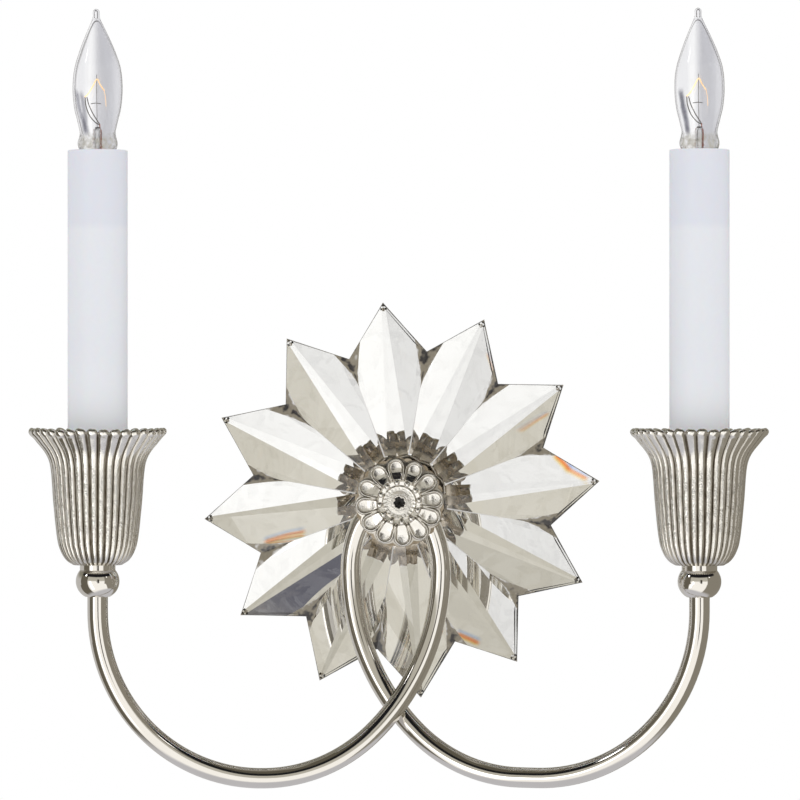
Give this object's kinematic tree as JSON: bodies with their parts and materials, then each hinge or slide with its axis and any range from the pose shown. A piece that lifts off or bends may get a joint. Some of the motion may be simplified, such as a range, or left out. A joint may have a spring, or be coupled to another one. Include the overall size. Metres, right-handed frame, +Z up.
{
  "type": "double arm wall sconce",
  "caption": "Wall sconce with crossing bent arms, fluted candle cups with candle sleeves and flame bulbs, and a faceted crystal star with a rosette at its hub.",
  "frame": {"origin": "on the hub's axis in the wall plane, at the middle of the strap's slots", "axes": "+Z up, the sconce stands out of the wall towards -Y, +X to the right as seen from the room"},
  "size_m": [0.3166, 0.1248, 0.3348],
  "materials": {
    "polished_nickel": "polished nickel",
    "strap_steel": "zinc plated",
    "ground_green": "satin",
    "soft_black": "matt",
    "silvering": "silvered",
    "crystal": "clear polished",
    "connector_tan": "satin",
    "lead_black": "satin",
    "lead_white": "satin",
    "sleeve_white": "satin",
    "holder_black": "matt",
    "brass": "rolled",
    "bulb_base": "rolled",
    "insulator_black": "glossy",
    "solder": "dull",
    "bulb_glass": "clear",
    "stem_glass": "clear",
    "support_wire": "drawn",
    "filament": "glowing"
  },
  "bodies": {
    "root": {"mounting_strap": "strap_steel", "ground_screw": "ground_green", "threaded_rod": "strap_steel", "strap_lock_nut": "strap_steel", "back_pan": "polished_nickel", "pan_gasket": "soft_black", "mirror_backing": "silvering", "crystal_star": "crystal", "star_washer": "soft_black", "clamp_washer": "polished_nickel", "hub_body": "polished_nickel", "hub_cover": "strap_steel", "fluted_collar": "polished_nickel", "rosette_cap": "polished_nickel", "cap_screw": "polished_nickel", "wire_connectors": "connector_tan", "arm_left": "polished_nickel", "live_lead_left": "lead_black", "neutral_lead_left": "lead_white", "neck_ball_left": "polished_nickel", "fluted_cup_left": "polished_nickel", "cup_nipple_left": "strap_steel", "cup_lock_nut_left": "strap_steel", "socket_stem_left": "strap_steel", "sleeve_seat_left": "strap_steel", "lamp_holder_left": "holder_black", "holder_shell_left": "brass", "holder_contact_left": "brass", "arm_right": "polished_nickel", "live_lead_right": "lead_black", "neutral_lead_right": "lead_white", "neck_ball_right": "polished_nickel", "fluted_cup_right": "polished_nickel", "cup_nipple_right": "strap_steel", "cup_lock_nut_right": "strap_steel", "socket_stem_right": "strap_steel", "sleeve_seat_right": "strap_steel", "lamp_holder_right": "holder_black", "holder_shell_right": "brass", "holder_contact_right": "brass"},
    "sleeve_left": {"candle_sleeve_left": "sleeve_white"},
    "bulb_base_left": {"bulb_screw_shell_left": "bulb_base"},
    "bulb_left": {"bulb_insulator_left": "insulator_black", "bulb_button_left": "solder", "bulb_envelope_left": "bulb_glass", "bulb_stem_left": "stem_glass", "bulb_supports_left": "support_wire", "bulb_filament_left": "filament"},
    "sleeve_right": {"candle_sleeve_right": "sleeve_white"},
    "bulb_base_right": {"bulb_screw_shell_right": "bulb_base"},
    "bulb_right": {"bulb_insulator_right": "insulator_black", "bulb_button_right": "solder", "bulb_envelope_right": "bulb_glass", "bulb_stem_right": "stem_glass", "bulb_supports_right": "support_wire", "bulb_filament_right": "filament"}
  },
  "joints": [
    {"name": "sleeve_left_lift", "type": "slide", "parent": "root", "child": "sleeve_left", "axis": [0, 0, 1], "range_m": [0, 0.15]},
    {"name": "bulb_left_rise", "type": "slide", "parent": "root", "child": "bulb_base_left", "axis": [0, 0, 1], "range_m": [0, 0.01016]},
    {"name": "bulb_left_turn", "type": "hinge", "parent": "bulb_base_left", "child": "bulb_left", "pos_m": [-0.1285, -0.095, 0.15], "axis": [0, 0, 1], "range_deg": [0, 1441]},
    {"name": "sleeve_right_lift", "type": "slide", "parent": "root", "child": "sleeve_right", "axis": [0, 0, 1], "range_m": [0, 0.15]},
    {"name": "bulb_right_rise", "type": "slide", "parent": "root", "child": "bulb_base_right", "axis": [0, 0, 1], "range_m": [0, 0.01016]},
    {"name": "bulb_right_turn", "type": "hinge", "parent": "bulb_base_right", "child": "bulb_right", "pos_m": [0.1285, -0.095, 0.15], "axis": [0, 0, 1], "range_deg": [0, 1441]}
  ],
  "couplings": [
    {"joint": "bulb_left_turn", "follows": "bulb_left_rise", "rad_per_m": 2473.7},
    {"joint": "bulb_right_turn", "follows": "bulb_right_rise", "rad_per_m": 2473.7}
  ]
}
